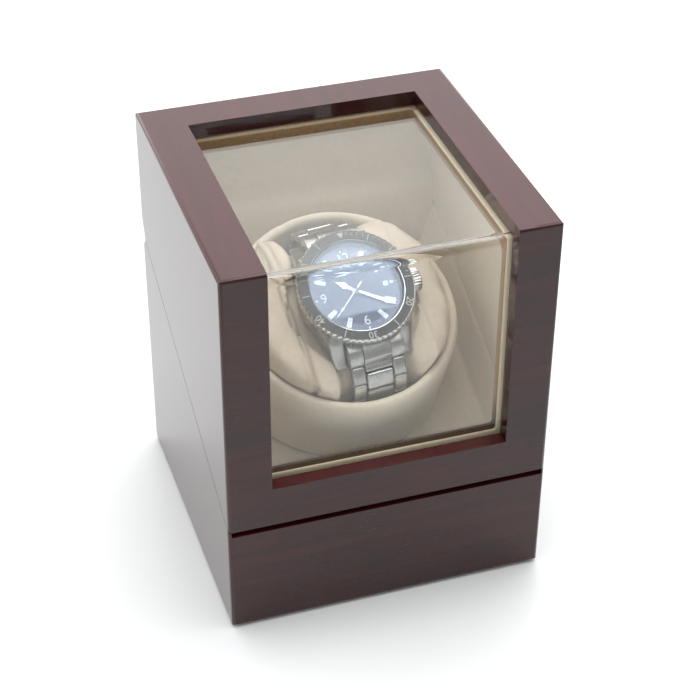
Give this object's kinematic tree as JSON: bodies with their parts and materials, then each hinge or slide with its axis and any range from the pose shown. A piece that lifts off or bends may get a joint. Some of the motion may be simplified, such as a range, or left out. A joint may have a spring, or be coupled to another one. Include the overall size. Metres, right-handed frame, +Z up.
{
  "type": "watch winder box",
  "caption": "Lacquered wooden watch winder box with a hinged lid, a bent clear window over the top and front, and a sloping padded drum that turns a cushion holding a wristwatch",
  "frame": {"origin": "centre of the underside, on the surface the box rests on", "axes": "+X to the right seen from the front, +Y to the back, +Z up; the window faces -Y and +Z"},
  "size_m": [0.127, 0.126, 0.16],
  "materials": {
    "lacquer": "dark mahogany under a high-gloss clear lacquer",
    "bare_board": "plain fibreboard",
    "felt": "dense black felt",
    "suede": "brushed beige microsuede",
    "trim_fabric": "brushed beige microsuede over a frame",
    "pane": "clear bent acrylic sheet",
    "brass": "polished brass",
    "steel": "brushed stainless steel",
    "zinc_steel": "zinc-plated steel",
    "black_plastic": "moulded black plastic",
    "white_plastic": "moulded white plastic",
    "red_plastic": "moulded red plastic",
    "board": "green solder-mask board",
    "belt_rubber": "black rubber",
    "crystal": "clear crystal with a blue anti-reflection tint",
    "dial": "blue lacquered dial",
    "luminous": "white luminous paint",
    "card": "rigid moulded shell under the fabric"
  },
  "bodies": {
    "base": {"base_case": "lacquer", "bottom_board": "bare_board", "felt_pad": "felt", "bottom_screws": "zinc_steel", "floor_board": "bare_board", "floor_cleats": "bare_board", "well_tray": "suede", "rear_cove": "suede", "hinge_base_leaves": "brass", "hinge_pins": "zinc_steel", "hinge_base_screws": "brass", "drive_plate": "zinc_steel", "plate_screws": "zinc_steel", "spindle_bush": "brass", "gearbox_housing": "white_plastic", "gearbox_screws": "zinc_steel", "motor_can": "zinc_steel", "drive_belt": "belt_rubber", "control_board": "board", "board_standoffs": "white_plastic", "control_tray": "black_plastic", "rocker_housing": "black_plastic", "selector_switches": "black_plastic", "dc_jack": "black_plastic", "wiring": "red_plastic"},
    "rocker": {"power_rocker": "red_plastic"},
    "turns_dial": {"turns_knob": "black_plastic"},
    "direction_dial": {"direction_knob": "black_plastic"},
    "lid": {"lid_case": "lacquer", "lid_window": "pane", "window_trim": "trim_fabric", "lid_liner_left": "suede", "lid_liner_right": "suede", "lid_liner_back": "suede", "hinge_lid_leaves": "brass", "hinge_lid_screws": "brass"},
    "motor_output": {"output_shaft": "zinc_steel", "motor_pulley": "black_plastic"},
    "drum": {"drum_shell": "card", "drum_cover": "suede", "drum_rim": "suede", "drum_lining": "suede", "drum_spindle": "zinc_steel", "drum_pulley": "black_plastic", "spindle_clip": "zinc_steel"},
    "cushion": {"pillow_core": "suede", "pillow_end_pads": "suede", "watch_case": "steel", "case_back": "steel", "watch_crystal": "crystal", "watch_dial": "dial", "dial_markers": "luminous", "bracelet_outer_links": "steel", "bracelet_centre_links": "steel", "bracelet_clasp": "steel"},
    "bezel": {"watch_bezel": "steel"},
    "crown": {"watch_crown": "steel"},
    "hour": {"hour_hand": "steel"},
    "minute": {"minute_hand": "steel"},
    "seconds": {"seconds_hand": "steel"}
  },
  "joints": [
    {"name": "lid_hinge", "type": "hinge", "parent": "base", "child": "lid", "pos_m": [0, 0.058, 0.10442], "axis": [-1, 0, 0], "range_deg": [0, 95]},
    {"name": "drum_spin", "type": "hinge", "parent": "base", "child": "drum", "pos_m": [0, 0.00343, 0.07898], "axis": [0, -0.4226, 0.9063], "continuous": true},
    {"name": "motor_spin", "type": "hinge", "parent": "base", "child": "motor_output", "pos_m": [0, -0.01368, 0.02576], "axis": [0, -0.4226, 0.9063], "continuous": true},
    {"name": "cushion_lift", "type": "slide", "parent": "drum", "child": "cushion", "axis": [0, -0.4226, 0.9063], "range_m": [0, 0.015]},
    {"name": "bezel_turn", "type": "hinge", "parent": "cushion", "child": "bezel", "pos_m": [0.00037, -0.01936, 0.11844], "axis": [0.0097, -0.5146, 0.8574], "continuous": true},
    {"name": "crown_turn", "type": "hinge", "parent": "cushion", "child": "crown", "pos_m": [0.0232, -0.01342, 0.11265], "axis": [0.9957, 0.0837, 0.039], "continuous": true},
    {"name": "minute_turn", "type": "hinge", "parent": "cushion", "child": "minute", "pos_m": [0.00034, -0.01782, 0.11587], "axis": [-0.0097, 0.5146, -0.8574], "continuous": true},
    {"name": "hour_turn", "type": "hinge", "parent": "cushion", "child": "hour", "pos_m": [0.00034, -0.01782, 0.11587], "axis": [-0.0097, 0.5146, -0.8574], "continuous": true},
    {"name": "seconds_turn", "type": "hinge", "parent": "cushion", "child": "seconds", "pos_m": [0.00034, -0.01782, 0.11587], "axis": [-0.0097, 0.5146, -0.8574], "continuous": true},
    {"name": "rocker_tilt", "type": "hinge", "parent": "base", "child": "rocker", "pos_m": [-0.02, 0.057, 0.025], "axis": [1, 0, 0], "range_deg": [-7, 7]},
    {"name": "turns_select", "type": "hinge", "parent": "base", "child": "turns_dial", "pos_m": [-0.003, 0.06, 0.025], "axis": [0, 1, 0], "range_deg": [-120, 120]},
    {"name": "direction_select", "type": "hinge", "parent": "base", "child": "direction_dial", "pos_m": [0.012, 0.06, 0.025], "axis": [0, 1, 0], "range_deg": [-45, 45]}
  ],
  "couplings": [
    {"joint": "motor_spin", "follows": "drum_spin", "ratio": 3},
    {"joint": "hour_turn", "follows": "minute_turn", "ratio": 0.083333},
    {"joint": "seconds_turn", "follows": "minute_turn", "ratio": 60}
  ]
}
